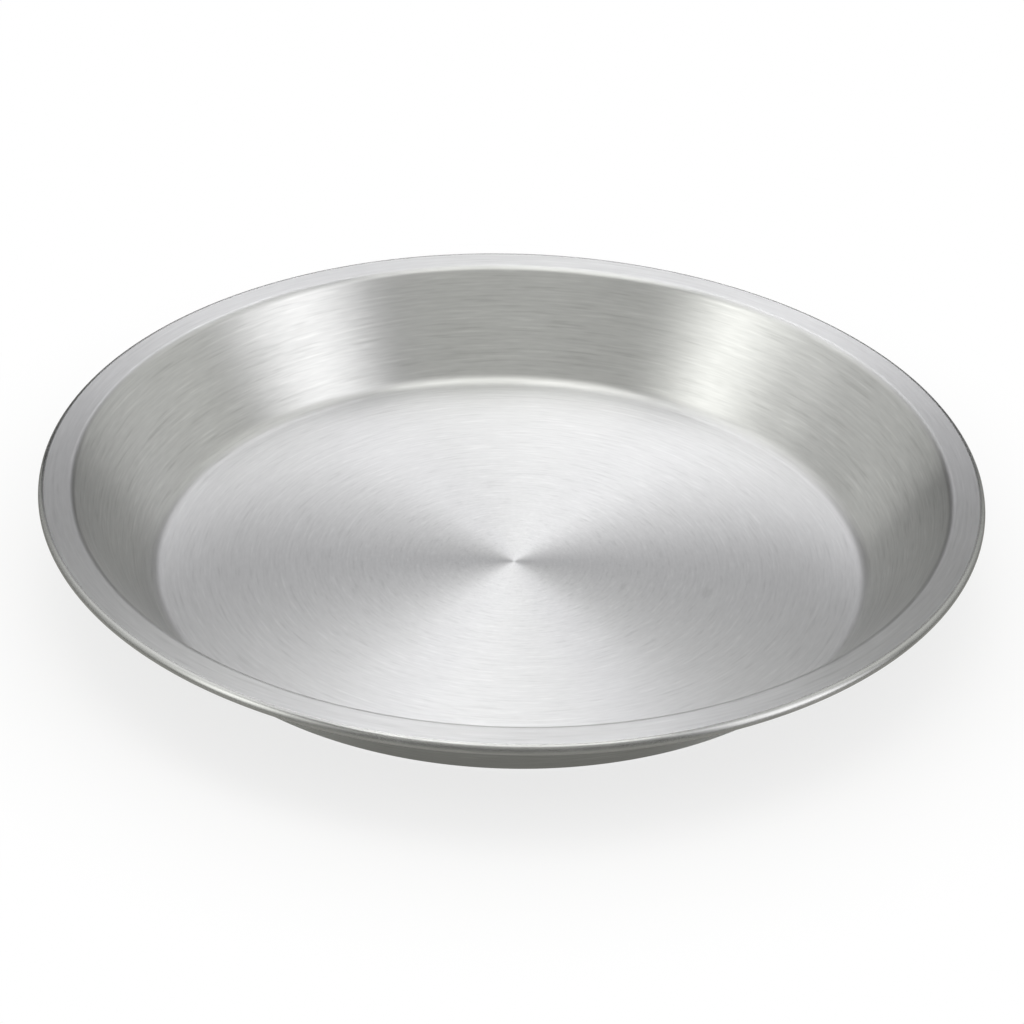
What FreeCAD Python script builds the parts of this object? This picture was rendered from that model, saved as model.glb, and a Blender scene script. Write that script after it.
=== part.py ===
# Pie pan, spun from one round blank of stainless sheet with a rolled edge.
# The origin is the middle of the resting face. +Z is up and is the pan's own axis of symmetry.
import FreeCAD
import Part
import math
import os

# Sizes in millimetres, each one independent
RIM_DIAMETER = 246.0  # over the rolled edge
PAN_HEIGHT = 27.5  # from the resting face to the top of the flat rim
FLOOR_FLAT_DIAMETER = 183.0  # the flat of the floor, where the floor bend starts
RIM_FLAT_DIAMETER = 231.0  # the inner edge of the flat rim, where the rim bend ends
SHEET = 0.5  # the same thickness from the middle of the floor to the end of the roll
FLOOR_BEND_RADIUS = 5.3  # floor to wall, on the inside face
RIM_BEND_RADIUS = 2.7  # wall to flat rim, on the upper face
ROLL_DIAMETER = 3.0  # outside diameter of the rolled edge
ROLL_TURN = 290.0  # degrees that the edge is rolled through, down and back under the rim
ROLL_PIECES = 6  # equal arcs that each face of the roll is drawn in

# Centres of the three bends, as radius from the axis and height
floor_bend_r = FLOOR_FLAT_DIAMETER / 2.0
floor_bend_z = SHEET + FLOOR_BEND_RADIUS
rim_bend_r = RIM_FLAT_DIAMETER / 2.0
rim_bend_z = PAN_HEIGHT - RIM_BEND_RADIUS
roll_radius = ROLL_DIAMETER / 2.0
roll_r = RIM_DIAMETER / 2.0 - roll_radius
roll_z = PAN_HEIGHT - roll_radius

# The straight wall is tangent to both bends, which curve opposite ways. This gives its slope above the level floor.
across = rim_bend_r - floor_bend_r
rise = rim_bend_z - floor_bend_z
between = math.hypot(across, rise)
wall_slope = math.atan2(rise, across) + math.asin((FLOOR_BEND_RADIUS + RIM_BEND_RADIUS) / between)


def point(r, z):
    """A point of the half section: r out from the axis, z up."""
    return FreeCAD.Vector(r, 0.0, z)


def on_circle(r, z, radius, angle):
    """The point at an angle, in radians above level and outward, of a circle round (r, z)."""
    return point(r + radius * math.cos(angle), z + radius * math.sin(angle))


def line(start, end):
    return Part.LineSegment(start, end).toShape()


def arc(r, z, radius, start, end):
    """An arc round (r, z) from one angle to another, through the angle halfway."""
    first = on_circle(r, z, radius, start)
    middle = on_circle(r, z, radius, (start + end) / 2.0)
    last = on_circle(r, z, radius, end)
    return Part.Arc(first, middle, last).toShape()


def long_arc(r, z, radius, start, end, pieces):
    """One arc drawn in equal pieces, which mesh with fewer facets than it does in one."""
    angles = [start + (end - start) * step / pieces for step in range(pieces + 1)]
    return [arc(r, z, radius, first, last) for first, last in zip(angles, angles[1:])]


# Angles where the bends begin and end
down = -math.pi / 2.0
up = math.pi / 2.0
wall_foot = down + wall_slope
wall_head = up + wall_slope
roll_end = up - math.radians(ROLL_TURN)

# Upper face of the sheet, from the axis outward: floor, floor bend, wall, rim bend, flat rim, roll
floor_middle = point(0.0, SHEET)
floor_edge = point(floor_bend_r, SHEET)
wall_foot_inside = on_circle(floor_bend_r, floor_bend_z, FLOOR_BEND_RADIUS, wall_foot)
wall_head_inside = on_circle(rim_bend_r, rim_bend_z, RIM_BEND_RADIUS, wall_head)
rim_start = point(rim_bend_r, PAN_HEIGHT)
roll_start = point(roll_r, PAN_HEIGHT)
roll_tip_outside = on_circle(roll_r, roll_z, roll_radius, roll_end)

# Lower face of the sheet, one thickness away, back to the axis
roll_tip_inside = on_circle(roll_r, roll_z, roll_radius - SHEET, roll_end)
roll_start_below = point(roll_r, PAN_HEIGHT - SHEET)
rim_start_below = point(rim_bend_r, PAN_HEIGHT - SHEET)
wall_head_outside = on_circle(rim_bend_r, rim_bend_z, RIM_BEND_RADIUS - SHEET, wall_head)
wall_foot_outside = on_circle(floor_bend_r, floor_bend_z, FLOOR_BEND_RADIUS + SHEET, wall_foot)
rest_edge = point(floor_bend_r, 0.0)
rest_middle = point(0.0, 0.0)

section = [
    line(floor_middle, floor_edge),
    arc(floor_bend_r, floor_bend_z, FLOOR_BEND_RADIUS, down, wall_foot),
    line(wall_foot_inside, wall_head_inside),
    arc(rim_bend_r, rim_bend_z, RIM_BEND_RADIUS, wall_head, up),
    line(rim_start, roll_start),
    *long_arc(roll_r, roll_z, roll_radius, up, roll_end, ROLL_PIECES),
    line(roll_tip_outside, roll_tip_inside),
    *long_arc(roll_r, roll_z, roll_radius - SHEET, roll_end, up, ROLL_PIECES),
    line(roll_start_below, rim_start_below),
    arc(rim_bend_r, rim_bend_z, RIM_BEND_RADIUS - SHEET, up, wall_head),
    line(wall_head_outside, wall_foot_outside),
    arc(floor_bend_r, floor_bend_z, FLOOR_BEND_RADIUS + SHEET, wall_foot, down),
    line(rest_edge, rest_middle),
    line(rest_middle, floor_middle),
]

# The section, turned once round the axis, is the whole pan
half_section = Part.Face(Part.Wire(section))
pie_pan = half_section.revolve(FreeCAD.Vector(0, 0, 0), FreeCAD.Vector(0, 0, 1), 360.0)

if not pie_pan.isValid() or len(pie_pan.Solids) != 1:
    raise RuntimeError("the pan is not one valid solid")

os.makedirs("parts", exist_ok=True)
pie_pan.Solids[0].exportStep("parts/pie_pan.step")

print("wall leans", round(90.0 - math.degrees(wall_slope), 1), "degrees out from upright")
print("volume", round(pie_pan.Volume, 1), "cubic mm")
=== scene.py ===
import math
from typing import NamedTuple

import bmesh
import bpy
from bpy.props import FloatProperty, FloatVectorProperty, IntProperty, PointerProperty
from mathutils import Euler, Matrix, Vector


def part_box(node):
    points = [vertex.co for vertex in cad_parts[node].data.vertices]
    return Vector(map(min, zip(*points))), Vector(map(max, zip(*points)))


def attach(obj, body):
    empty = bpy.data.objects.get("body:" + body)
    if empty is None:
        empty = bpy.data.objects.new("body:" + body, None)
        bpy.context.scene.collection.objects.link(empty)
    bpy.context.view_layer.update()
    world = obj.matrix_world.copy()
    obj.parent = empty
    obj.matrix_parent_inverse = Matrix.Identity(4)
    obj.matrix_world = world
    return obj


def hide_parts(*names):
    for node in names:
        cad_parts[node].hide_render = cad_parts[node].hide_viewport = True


bl_info = {
    "name": "Brushed Pie Pan",
    "version": (1, 0, 0),
    "blender": (4, 5, 0),
    "location": "3D View > Sidebar > Pie Pan",
    "description": "Turns a pie pan with a rolled edge, brushes it and sets it in a plain studio",
    "category": "Add Mesh",
}

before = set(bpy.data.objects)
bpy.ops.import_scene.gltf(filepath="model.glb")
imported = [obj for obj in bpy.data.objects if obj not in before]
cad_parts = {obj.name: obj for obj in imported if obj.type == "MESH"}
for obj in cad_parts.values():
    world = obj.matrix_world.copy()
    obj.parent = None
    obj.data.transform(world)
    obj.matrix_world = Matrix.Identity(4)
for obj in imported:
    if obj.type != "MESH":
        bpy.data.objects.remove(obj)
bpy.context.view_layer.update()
pan_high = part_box("pie_pan")[1]
RIM_RADIUS = pan_high.x
PAN_HEIGHT = pan_high.z
WHITE = (1.0, 1.0, 1.0, 1.0)


class Wire:
    """One output of a node, so that shader maths reads as plain arithmetic."""

    def __init__(self, sheet, socket):
        self.sheet = sheet
        self.socket = socket

    def math(self, operation, *others):
        return self.sheet.maths(operation, self, *others)

    def __add__(self, other):
        return self.math("ADD", other)

    def __radd__(self, other):
        return self.math("ADD", other)

    def __sub__(self, other):
        return self.math("SUBTRACT", other)

    def __rsub__(self, other):
        return self.sheet.maths("SUBTRACT", other, self)

    def __mul__(self, other):
        return self.math("MULTIPLY", other)

    def __rmul__(self, other):
        return self.math("MULTIPLY", other)

    def __truediv__(self, other):
        return self.math("DIVIDE", other)


class NodeSheet:
    """The node tree of one material or of the world, cleared and ready to be filled."""

    def __init__(self, owner):
        owner.use_nodes = True
        self.tree = owner.node_tree
        self.tree.nodes.clear()

    def add(self, kind, settings=None, inputs=None, output=0):
        """Adds a node: its settings first, then a value or a wire for each input. Gives back one output."""
        node = self.tree.nodes.new(kind)
        for name, value in (settings or {}).items():
            setattr(node, name, value)
        for name, value in (inputs or {}).items():
            self.feed(node.inputs[name], value)
        return Wire(self, node.outputs[output]) if node.outputs else None

    def feed(self, socket, value):
        if isinstance(value, Wire):
            self.tree.links.new(value.socket, socket)
        else:
            socket.default_value = value

    def maths(self, operation, *values):
        return self.add("ShaderNodeMath", {"operation": operation}, dict(enumerate(values)))

    def place(self):
        """The shaded point, in its object's own coordinates."""
        return self.add("ShaderNodeTexCoord", output="Object")

    def axes(self):
        """The shaded point as three numbers."""
        outputs = self.add("ShaderNodeSeparateXYZ", inputs={"Vector": self.place()}).socket.node.outputs
        return [Wire(self, outputs[axis]) for axis in "XYZ"]

    def distance(self):
        """How far the shaded point is from its object's origin."""
        return self.add("ShaderNodeVectorMath", {"operation": "LENGTH"}, {0: self.place()}, output="Value")

    def noise(self, x, y, z, detail):
        """A noise value from 0 to 1, about a half on average, at a point made of three numbers."""
        point = self.add("ShaderNodeCombineXYZ", inputs={"X": x, "Y": y, "Z": z})
        inputs = {"Vector": point, "Scale": 1.0, "Detail": detail}
        return self.add("ShaderNodeTexNoise", {"noise_dimensions": "3D"}, inputs)

    def scale(self, colour, share):
        return self.add("ShaderNodeVectorMath", {"operation": "SCALE"}, {0: colour, "Scale": share})

    def glow(self, colour):
        """Light of one colour, in which 1 is white."""
        return self.add("ShaderNodeEmission", inputs={"Color": colour, "Strength": 1.0})

    def step(self, value, start, end):
        """Rises smoothly from 0 at start to 1 at end."""
        inputs = {"Value": value, "From Min": start, "From Max": end}
        return self.add("ShaderNodeMapRange", {"interpolation_type": "SMOOTHSTEP"}, inputs)

    def show(self, surface, kind="ShaderNodeOutputMaterial"):
        """Makes a shader the one that is seen."""
        self.add(kind, inputs={"Surface": surface})


def add_object(name, mesh):
    """Puts a finished mesh in the scene."""
    data = bpy.data.meshes.new(name)
    mesh.to_mesh(data)
    mesh.free()
    made = bpy.data.objects.new(name, data)
    bpy.context.scene.collection.objects.link(made)
    return made


def turn_round(mesh, geometry, steps):
    """Spins a section once round the upright axis."""
    bmesh.ops.spin(
        mesh,
        geom=geometry,
        cent=(0.0, 0.0, 0.0),
        axis=(0.0, 0.0, 1.0),
        angle=math.tau,
        steps=steps,
        use_merge=True,
        use_duplicate=False,
    )


class PanSizes(bpy.types.PropertyGroup):
    """Sizes of the pan that its outer box doesn't give."""

    sheet: FloatProperty(
        name="Sheet", description="Thickness of the steel", default=0.0005, unit="LENGTH", precision=5
    )
    floor_flat_diameter: FloatProperty(
        name="Floor flat", description="Diameter where the floor bend starts", default=0.183, unit="LENGTH"
    )
    rim_flat_diameter: FloatProperty(
        name="Rim flat", description="Inner diameter of the flat rim", default=0.231, unit="LENGTH"
    )
    floor_bend_radius: FloatProperty(
        name="Floor bend", description="Inside radius from floor to wall", default=0.0053, unit="LENGTH"
    )
    rim_bend_radius: FloatProperty(
        name="Rim bend", description="Upper radius from wall to rim", default=0.0027, unit="LENGTH"
    )
    roll_diameter: FloatProperty(
        name="Rolled edge", description="Outside diameter of the roll", default=0.003, unit="LENGTH"
    )
    roll_turn: FloatProperty(
        name="Roll turn",
        description="How far the edge is rolled under",
        default=math.radians(290),
        subtype="ANGLE",
    )
    turns: IntProperty(
        name="Steps round", description="Steps of the mesh round the pan", default=360, min=24
    )


class PanFinish(bpy.types.PropertyGroup):
    """The brushed finish."""

    steel: FloatVectorProperty(
        name="Steel", description="Colour of the steel", subtype="COLOR", default=(0.65, 0.65, 0.65)
    )
    roughness: FloatProperty(
        name="Roughness", description="How wide the brushing spreads light", default=0.28, min=0.0, max=1.0
    )
    roll_roughness: FloatProperty(
        name="Roll roughness", description="The same on the rolled edge, which is smoother", default=0.21
    )
    rim_tone: FloatProperty(
        name="Rim tone", description="How bright the flat rim is beside the rest", default=0.92
    )
    roll_tone: FloatProperty(
        name="Roll tone", description="How bright the rolled edge is beside the rest", default=0.80
    )
    rim_lift: FloatProperty(
        name="Rim lift",
        description="How far the shading of the flat rim leans up towards its edge",
        default=math.radians(2.0),
        subtype="ANGLE",
    )
    brush_centre: FloatVectorProperty(
        name="Brush centre",
        description="Middle of the brush lines, a little off the pan's axis",
        subtype="XYZ",
        unit="LENGTH",
        size=2,
        default=(0.0011, -0.0004),
    )


class StageSettings(bpy.types.PropertyGroup):
    """Where the camera stands."""

    camera_height: FloatProperty(
        name="Camera height", description="Angle above level", default=math.radians(31.887), subtype="ANGLE"
    )
    camera_roll: FloatProperty(
        name="Camera roll", description="Turn about the line of sight", default=0.0280, subtype="ANGLE"
    )
    camera_distance: FloatProperty(
        name="Camera distance", description="From the camera to its aim", default=0.984, unit="LENGTH"
    )
    focal_length: FloatProperty(
        name="Focal length", description="Lens in millimetres on a 36 mm sensor", default=131.778
    )
    aim: FloatVectorProperty(
        name="Aim",
        description="The point that the camera looks at",
        subtype="XYZ",
        unit="LENGTH",
        default=(0.000148, 0.0, 0.015567),
    )


class SectionPen:
    """Draws the pan's half section in the XZ plane, as a chain of edges."""

    HOLD = 0.0004  # length of the short step at each end of a straight stretch

    def __init__(self, mesh, radius, height):
        self.mesh = mesh
        self.tip = mesh.verts.new((radius, 0.0, height))

    def line_to(self, radius, height):
        """Draws a straight stretch, with a short step at each end that keeps its shading flat."""
        start = self.tip.co.copy()
        end = Vector((radius, 0.0, height))
        along = end - start
        shares = [1.0]
        if along.length > 4.0 * self.HOLD:
            share = self.HOLD / along.length
            shares = [share, 1.0 - share, 1.0]
        for share in shares:
            drawn = bmesh.ops.extrude_vert_indiv(self.mesh, verts=[self.tip])
            self.tip = drawn["verts"][0]
            self.tip.co = start + along * share

    def bend(self, centre, angle, steps):
        """Draws an arc round a centre. A positive angle turns from +X towards +Z."""
        drawn = bmesh.ops.spin(
            self.mesh,
            geom=[self.tip],
            cent=centre,
            axis=(0.0, -1.0, 0.0),
            angle=angle,
            steps=steps,
            use_duplicate=False,
        )
        self.tip = [item for item in drawn["geom_last"] if isinstance(item, bmesh.types.BMVert)][0]


BEND_STEPS = 12
ROLL_STEPS = 32


def draw_section(mesh, sizes):
    """The half section of the sheet: out along its upper face, round the roll, and back underneath."""
    sheet = sizes.sheet
    floor_bend = Vector((sizes.floor_flat_diameter / 2.0, 0.0, sheet + sizes.floor_bend_radius))
    rim_bend = Vector((sizes.rim_flat_diameter / 2.0, 0.0, PAN_HEIGHT - sizes.rim_bend_radius))
    roll_radius = sizes.roll_diameter / 2.0
    roll = Vector((RIM_RADIUS - roll_radius, 0.0, PAN_HEIGHT - roll_radius))

    # The straight wall is tangent to both bends, which curve opposite ways
    between = rim_bend - floor_bend
    bend_radii = sizes.floor_bend_radius + sizes.rim_bend_radius
    slope = math.atan2(between.z, between.x) + math.asin(bend_radii / between.length)
    inward = Vector((-math.sin(slope), 0.0, math.cos(slope)))
    wall_head = rim_bend + inward * sizes.rim_bend_radius
    wall_foot_outside = floor_bend - inward * (sizes.floor_bend_radius + sheet)

    # Upper face
    pen = SectionPen(mesh, 0.0, sheet)
    pen.line_to(floor_bend.x, sheet)
    pen.bend(floor_bend, slope, BEND_STEPS)
    pen.line_to(wall_head.x, wall_head.z)
    pen.bend(rim_bend, -slope, BEND_STEPS)
    pen.line_to(roll.x, PAN_HEIGHT)
    pen.bend(roll, -sizes.roll_turn, ROLL_STEPS)

    # Across the end of the roll
    tip = pen.tip.co.copy()
    tip_inside = roll + (tip - roll) * ((roll_radius - sheet) / roll_radius)
    pen.line_to(tip_inside.x, tip_inside.z)

    # Lower face
    pen.bend(roll, sizes.roll_turn, ROLL_STEPS)
    pen.line_to(rim_bend.x, PAN_HEIGHT - sheet)
    pen.bend(rim_bend, slope, BEND_STEPS)
    pen.line_to(wall_foot_outside.x, wall_foot_outside.z)
    pen.bend(floor_bend, -slope, BEND_STEPS)
    pen.line_to(0.0, 0.0)


def turn_pan(sizes):
    """Spins the half section once round the axis and closes both poles."""
    mesh = bmesh.new()
    draw_section(mesh, sizes)
    turn_round(mesh, mesh.verts[:] + mesh.edges[:], sizes.turns)
    bmesh.ops.remove_doubles(mesh, verts=mesh.verts[:], dist=1e-6)
    bmesh.ops.recalc_face_normals(mesh, faces=mesh.faces[:])
    for face in mesh.faces:
        face.smooth = True
    return add_object("pan_body", mesh)


def centre_brushing(data, finish):
    """Puts the middle of the mesh's texture space, which the brush lines run round, where they are centred."""
    data.use_auto_texspace = False
    data.texspace_location = (finish.brush_centre[0], finish.brush_centre[1], PAN_HEIGHT / 2.0)
    data.texspace_size = (RIM_RADIUS, RIM_RADIUS, PAN_HEIGHT / 2.0)


class BrushMark(NamedTuple):
    """One kind of brush mark, as noise: how dense it is round the pan and across it, and how strong."""

    per_radius: float
    per_metre: float
    shift_x: float
    shift_y: float
    detail: float
    strength: float


BRUSH_MARKS = {
    "arcs": BrushMark(2.0, 1300.0, 0.0, 0.0, 0.0, 0.06),
    "hairs": BrushMark(4.8, 1800.0, 7.3, 0.0, 0.0, 0.06),
    "scratches": BrushMark(8.0, 1250.0, 0.0, 3.4, 0.6, 0.08),
    "dashes": BrushMark(25.0, 1800.0, 2.1, 0.0, 0.0, 0.08),
    "cloud": BrushMark(1.2, 60.0, 0.0, 0.0, 1.0, 0.03),
}
LIGHT_SCRATCH = 0.04  # how far the strongest scratches stand out from the rest
DARK_SCRATCH = 0.05
WALL_EXTRA = 0.5  # how much stronger the marks are on the wall
CLOUD_ROUGHNESS = 0.02
MARK_DEPTH = 0.000004

# Each part of the finish fades in between two distances
WALL_FADE = (0.0020, 0.0060)  # above the resting face
RIM_FADE = (0.0010, 0.0003)  # below the top
ROLL_FADE = (0.0018, 0.0010)  # inside the outer edge


def brush_marks(sheet, x, y, z):
    """Each kind of brush mark at a point measured from the middle of the brushing."""
    radius = (x * x + y * y).math("SQRT")
    apart = radius.math("MAXIMUM", 0.0005)
    round_x = x / apart
    round_y = y / apart
    across = radius + z * 0.5
    marks = {}
    for name, mark in BRUSH_MARKS.items():
        turned_x = round_x * mark.per_radius + mark.shift_x
        turned_y = round_y * mark.per_radius + mark.shift_y
        marks[name] = sheet.noise(turned_x, turned_y, across * mark.per_metre, mark.detail)
    return marks


def brushed_steel(sizes, finish):
    """Stainless sheet brushed on the lathe: every brush line runs round the pan's axis."""
    steel = bpy.data.materials.new("brushed_steel")
    sheet = NodeSheet(steel)
    x, y, z = sheet.axes()
    out = (x * x + y * y).math("SQRT")
    marks = brush_marks(sheet, x - finish.brush_centre[0], y - finish.brush_centre[1], z)

    grain = 0.0
    for name, mark in BRUSH_MARKS.items():
        grain = grain + (marks[name] - 0.5) * mark.strength
    grain = grain + sheet.step(marks["scratches"], 0.62, 0.76) * LIGHT_SCRATCH
    grain = grain - sheet.step(marks["scratches"], 0.38, 0.24) * DARK_SCRATCH

    rim = sheet.step(z, PAN_HEIGHT - RIM_FADE[0], PAN_HEIGHT - RIM_FADE[1])
    wall = sheet.step(z, *WALL_FADE) * (1.0 - rim)
    roll = sheet.step(out, RIM_RADIUS - ROLL_FADE[0], RIM_RADIUS - ROLL_FADE[1])
    tone = 1.0 - rim * (1.0 - finish.rim_tone) * (1.0 - roll) - roll * (1.0 - finish.roll_tone)
    colour = sheet.scale(tuple(finish.steel), (1.0 + grain * (1.0 + wall * WALL_EXTRA)) * tone)
    smoothing = roll * (finish.roughness - finish.roll_roughness)
    roughness = finish.roughness + marks["cloud"] * CLOUD_ROUGHNESS - smoothing

    rim_start = sizes.rim_flat_diameter / 2.0
    rim_end = RIM_RADIUS - sizes.roll_diameter / 2.0
    lift = (out.math("MAXIMUM", rim_start).math("MINIMUM", rim_end) - rim_start) * math.tan(finish.rim_lift)
    height = (marks["arcs"] * 0.4 + marks["scratches"] * 0.6) * MARK_DEPTH + lift
    bump = sheet.add("ShaderNodeBump", inputs={"Strength": 1.0, "Distance": 1.0, "Height": height})

    sheet.show(sheet.add(
        "ShaderNodeBsdfPrincipled",
        inputs={
            "Base Color": colour,
            "Metallic": 1.0,
            "Roughness": roughness,
            "Anisotropic": 1.0,
            "Anisotropic Rotation": 0.25,
            "Normal": bump,
        },
    ))
    return steel


class PIEPAN_OT_body(bpy.types.Operator):
    """Turns the pan from its section and brushes it"""

    bl_idname = "piepan.body"
    bl_label = "Pan Body"

    def execute(self, context):
        settings = context.scene
        pan = turn_pan(settings.pan_sizes)
        centre_brushing(pan.data, settings.pan_finish)
        pan.data.materials.append(brushed_steel(settings.pan_sizes, settings.pan_finish))
        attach(pan, "root")
        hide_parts("pie_pan")
        return {"FINISHED"}


def seen_as_background(sheet):
    """1 for the camera's own rays, and for rays that metal or glass sends on."""
    kinds = sheet.add("ShaderNodeLightPath").socket.node.outputs
    camera, glossy, through = (Wire(sheet, kinds[name]) for name in (
        "Is Camera Ray", "Is Glossy Ray", "Is Transmission Ray"))
    return camera.math("MAXIMUM", glossy).math("MAXIMUM", through)


def set_world(scene):
    """White where it is seen, and softer as a light."""
    world = bpy.data.worlds.new("studio")
    sheet = NodeSheet(world)
    seen = seen_as_background(sheet)
    strength = 0.7 + seen * 0.3
    background = sheet.add("ShaderNodeBackground", inputs={"Color": WHITE, "Strength": strength})
    sheet.show(background, "ShaderNodeOutputWorld")
    scene.world = world


FLOOR_RADIUS = 3.0
FLOOR_DEPTH = 0.0003  # how far the floor lies under the pan, with the card between them
CARD_DEPTH = 0.0001
WHITE_NEAR_PAN = 0.75  # share of plain white, which leaves the rest for the shadow
SHADOW_FADE = (0.10, 0.18)


def add_floor():
    """A pale floor that keeps the pan's shadow and fades to white away from it."""
    mesh = bmesh.new()
    bmesh.ops.create_circle(mesh, cap_ends=True, segments=96, radius=FLOOR_RADIUS)
    bmesh.ops.translate(mesh, verts=mesh.verts[:], vec=(0.0, 0.0, -FLOOR_DEPTH))
    floor = add_object("floor", mesh)

    material = bpy.data.materials.new("floor_white")
    sheet = NodeSheet(material)
    white = WHITE_NEAR_PAN + sheet.step(sheet.distance(), *SHADOW_FADE) * (1.0 - WHITE_NEAR_PAN)
    paper = sheet.add("ShaderNodeBsdfDiffuse", inputs={"Color": (0.86, 0.86, 0.86, 1.0)})
    share = seen_as_background(sheet) * white
    sheet.show(sheet.add("ShaderNodeMixShader", inputs={"Fac": share, 1: paper, 2: sheet.glow(WHITE)}))
    floor.data.materials.append(material)


def add_overhead_lamp(height, size, radiance):
    """A large soft lamp that hangs level over the pan, for the floor. A radiance of 1 is white."""
    lamp = bpy.data.lights.new("overhead_lamp", "AREA")
    lamp.size = size
    lamp.energy = radiance * math.pi * size * size
    hung = bpy.data.objects.new("overhead_lamp", lamp)
    bpy.context.scene.collection.objects.link(hung)
    hung.location = (0.0, 0.0, height)
    hung.visible_camera = False
    hung.visible_glossy = False


CARD_INNER = 0.094
CARD_OUTER = 0.6
CARD_TINT = (1.02, 1.02, 0.94)
OVERHANG_FADE = (0.106, 0.124)
FAR_FADE = (0.14, 0.22)


def add_shadow_card(shadow_under_pan, shadow_beside_pan, far):
    """A grey card laid round the pan that only the steel reflects, with its glow at three distances; under and
    beside the pan its glow is painted shadow of the pan on the floor.
    """
    mesh = bmesh.new()
    start = mesh.verts.new((CARD_INNER, 0.0, -CARD_DEPTH))
    end = mesh.verts.new((CARD_OUTER, 0.0, -CARD_DEPTH))
    turn_round(mesh, [start, end, mesh.edges.new((start, end))], 96)
    card = add_object("shadow_card", mesh)

    material = bpy.data.materials.new("shadow_card")
    sheet = NodeSheet(material)
    distance = sheet.distance()
    # Painted shadow: the glow is lowest under the pan's overhang and rises beside it, where the pan shades the
    # floor that the steel reflects.
    glow = shadow_under_pan + sheet.step(distance, *OVERHANG_FADE) * (shadow_beside_pan - shadow_under_pan)
    glow = glow + sheet.step(distance, *FAR_FADE) * (far - shadow_beside_pan)
    sheet.show(sheet.glow(sheet.scale(CARD_TINT, glow)))
    card.data.materials.append(material)
    card.visible_camera = False
    card.visible_diffuse = False
    card.visible_shadow = False


WARM = (1.01, 1.02, 0.97)
NEUTRAL = (1.00, 1.00, 1.00)
COOL = (0.99, 0.99, 1.02)


class SoftBox(NamedTuple):
    """One soft box of the light tent, in degrees: round from +X towards +Y, and up from level."""

    start: float
    end: float
    side_fade: float
    bottom: float
    bottom_fade: float
    top: float
    top_fade: float
    glow_at_bottom: float
    glow_at_top: float
    tint: tuple


TENT_RADIUS = 2.5
SOFT_BOXES = {
    "front": SoftBox(230, 310, 20, 0, 2, 60, 5, 0.0, 0.55, WARM),
    "right": SoftBox(320, 355, 30, 0, 2, 80, 70, 2.1, 1.4, NEUTRAL),
    "left": SoftBox(195, 215, 60, 0, 2, 45, 25, 1.7, 4.0, WARM),
    "board_right": SoftBox(5, 60, 20, 0, 2, 70, 35, 0.35, 1.15, WARM),
    "board_left": SoftBox(125, 180, 3, 0, 2, 75, 10, 0.35, 0.8, WARM),
    "strip": SoftBox(80, 100, 5, 34, 34, 50, 3, 2.2, 4.4, COOL),
    "top_back": SoftBox(90, 180, 75, 40, 50, 120, 2, 0.8, 0.8, NEUTRAL),
    "top": SoftBox(-360, 360, 2, 72, 6, 120, 2, 2.0, 2.0, WARM),
    "room": SoftBox(-360, 360, 2, 0, 2, 70, 20, 0.08, 0.04, WARM),
}


def soft_box_glow(sheet, box, x, y, height):
    """What one soft box adds to the light from each direction of the tent."""
    middle = math.radians((box.start + box.end) / 2.0)
    half_width = (box.end - box.start) / 2.0
    ahead = x * math.cos(middle) + y * math.sin(middle)
    aside = y * math.cos(middle) - x * math.sin(middle)
    away = aside.math("ARCTAN2", ahead).math("ABSOLUTE") * math.degrees(1.0)
    inside = sheet.step(away, half_width + box.side_fade / 2.0, half_width - box.side_fade / 2.0)
    above = sheet.step(height, box.bottom - box.bottom_fade / 2.0, box.bottom + box.bottom_fade / 2.0)
    below = sheet.step(height, box.top + box.top_fade / 2.0, box.top - box.top_fade / 2.0)
    climb = ((height - box.bottom) / (box.top - box.bottom)).math("MAXIMUM", 0.0).math("MINIMUM", 1.0)
    glow = (box.glow_at_bottom + (box.glow_at_top - box.glow_at_bottom) * climb) * inside * above * below
    return sheet.scale(box.tint, glow)


def add_light_tent():
    """A closed tent of soft boxes, which lights the pan and is what its steel reflects."""
    mesh = bmesh.new()
    bmesh.ops.create_uvsphere(mesh, u_segments=64, v_segments=32, radius=TENT_RADIUS)
    for face in mesh.faces:
        face.smooth = True
    tent = add_object("light_tent", mesh)

    material = bpy.data.materials.new("soft_boxes")
    sheet = NodeSheet(material)
    x, y, z = sheet.axes()
    height = (z / TENT_RADIUS).math("ARCSINE") * math.degrees(1.0)
    light = (0.0, 0.0, 0.0)
    for box in SOFT_BOXES.values():
        glow = soft_box_glow(sheet, box, x, y, height)
        light = sheet.add("ShaderNodeVectorMath", {"operation": "ADD"}, {0: light, 1: glow})
    sheet.show(sheet.glow(light))
    material.cycles.emission_sampling = "NONE"
    tent.data.materials.append(material)
    tent.visible_camera = False


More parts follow.
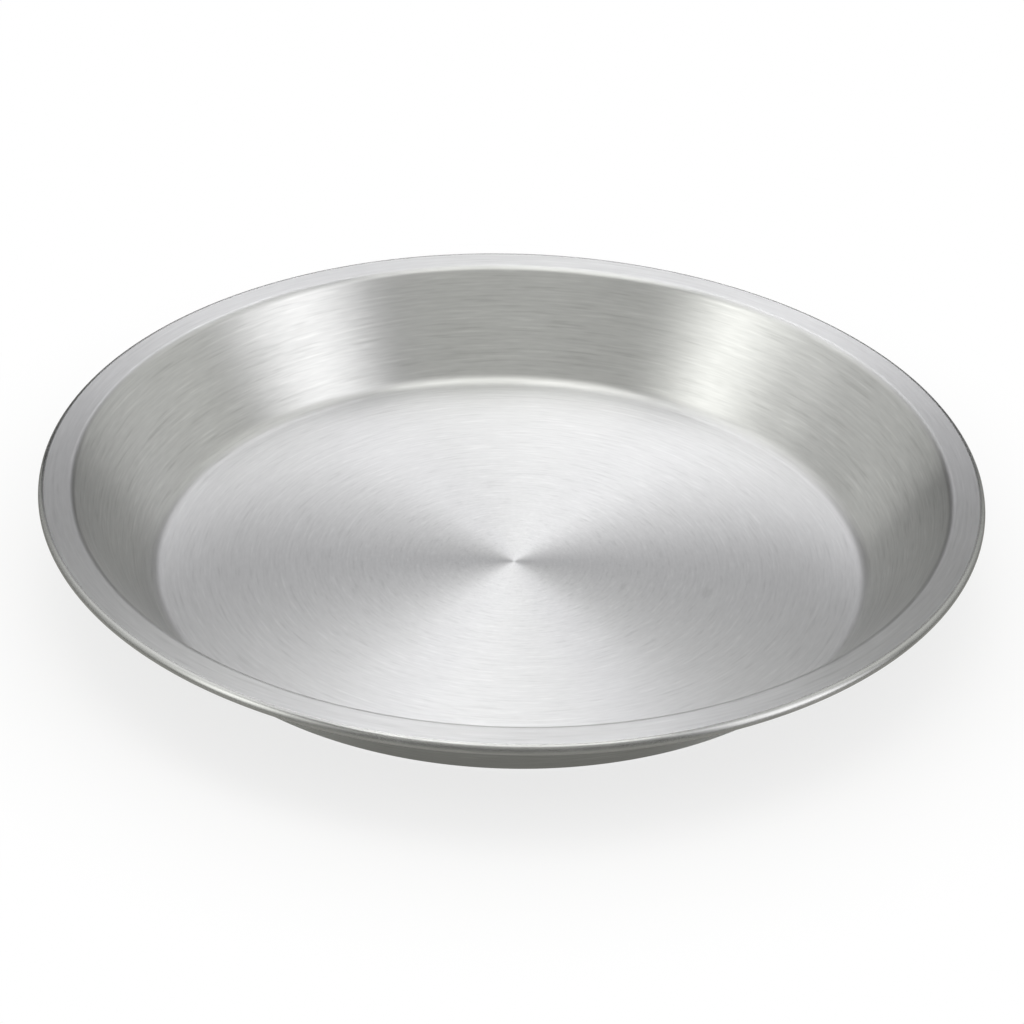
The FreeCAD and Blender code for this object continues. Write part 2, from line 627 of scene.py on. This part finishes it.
def add_camera(scene, stage):
    """A camera that stands in front of the pan and looks down into it."""
    lens = bpy.data.cameras.new("camera")
    lens.lens = stage.focal_length
    lens.sensor_width = 36.0
    lens.clip_start = 0.01
    lens.clip_end = 20.0
    camera = bpy.data.objects.new("camera", lens)
    scene.collection.objects.link(camera)
    height = stage.camera_height
    back = Vector((0.0, -math.cos(height), math.sin(height)))
    pitch = Euler((math.pi / 2.0 - height, 0.0, 0.0)).to_matrix().to_4x4()
    roll = Matrix.Rotation(stage.camera_roll, 4, "Z")
    stand = Matrix.Translation(Vector(stage.aim) + back * stage.camera_distance)
    camera.matrix_world = stand @ pitch @ roll
    scene.camera = camera


class PIEPAN_OT_stage(bpy.types.Operator):
    """Sets the floor, its card, the lamp, the light tent and the camera"""

    bl_idname = "piepan.stage"
    bl_label = "Stage"

    def execute(self, context):
        scene = context.scene
        scene.view_settings.view_transform = "Standard"
        set_world(scene)
        add_floor()
        add_overhead_lamp(height=1.4, size=0.6, radiance=0.4)
        # The card's glow under and beside the pan is painted shadow of the pan, seen only in the steel.
        add_shadow_card(shadow_under_pan=0.22, shadow_beside_pan=0.44, far=0.20)
        add_light_tent()
        add_camera(scene, scene.stage_settings)
        return {"FINISHED"}


class PIEPAN_PT_panel(bpy.types.Panel):
    """Lists the pan's sizes, its finish and its stage"""

    bl_label = "Pie Pan"
    bl_idname = "PIEPAN_PT_panel"
    bl_space_type = "VIEW_3D"
    bl_region_type = "UI"
    bl_category = "Pie Pan"

    def draw(self, context):
        scene = context.scene
        groups = (
            (scene.pan_sizes, PIEPAN_OT_body.bl_idname),
            (scene.pan_finish, None),
            (scene.stage_settings, PIEPAN_OT_stage.bl_idname),
        )
        for group, button in groups:
            box = self.layout.box()
            for name in group.__annotations__:
                box.prop(group, name)
            if button:
                box.operator(button)


CLASSES = (PanSizes, PanFinish, StageSettings, PIEPAN_OT_body, PIEPAN_OT_stage, PIEPAN_PT_panel)


def register():
    for cls in CLASSES:
        bpy.utils.register_class(cls)
    bpy.types.Scene.pan_sizes = PointerProperty(type=PanSizes)
    bpy.types.Scene.pan_finish = PointerProperty(type=PanFinish)
    bpy.types.Scene.stage_settings = PointerProperty(type=StageSettings)


def unregister():
    del bpy.types.Scene.stage_settings
    del bpy.types.Scene.pan_finish
    del bpy.types.Scene.pan_sizes
    for cls in reversed(CLASSES):
        bpy.utils.unregister_class(cls)


def main():
    register()
    bpy.ops.piepan.body()
    bpy.ops.piepan.stage()


if __name__ == "__main__":
    main()
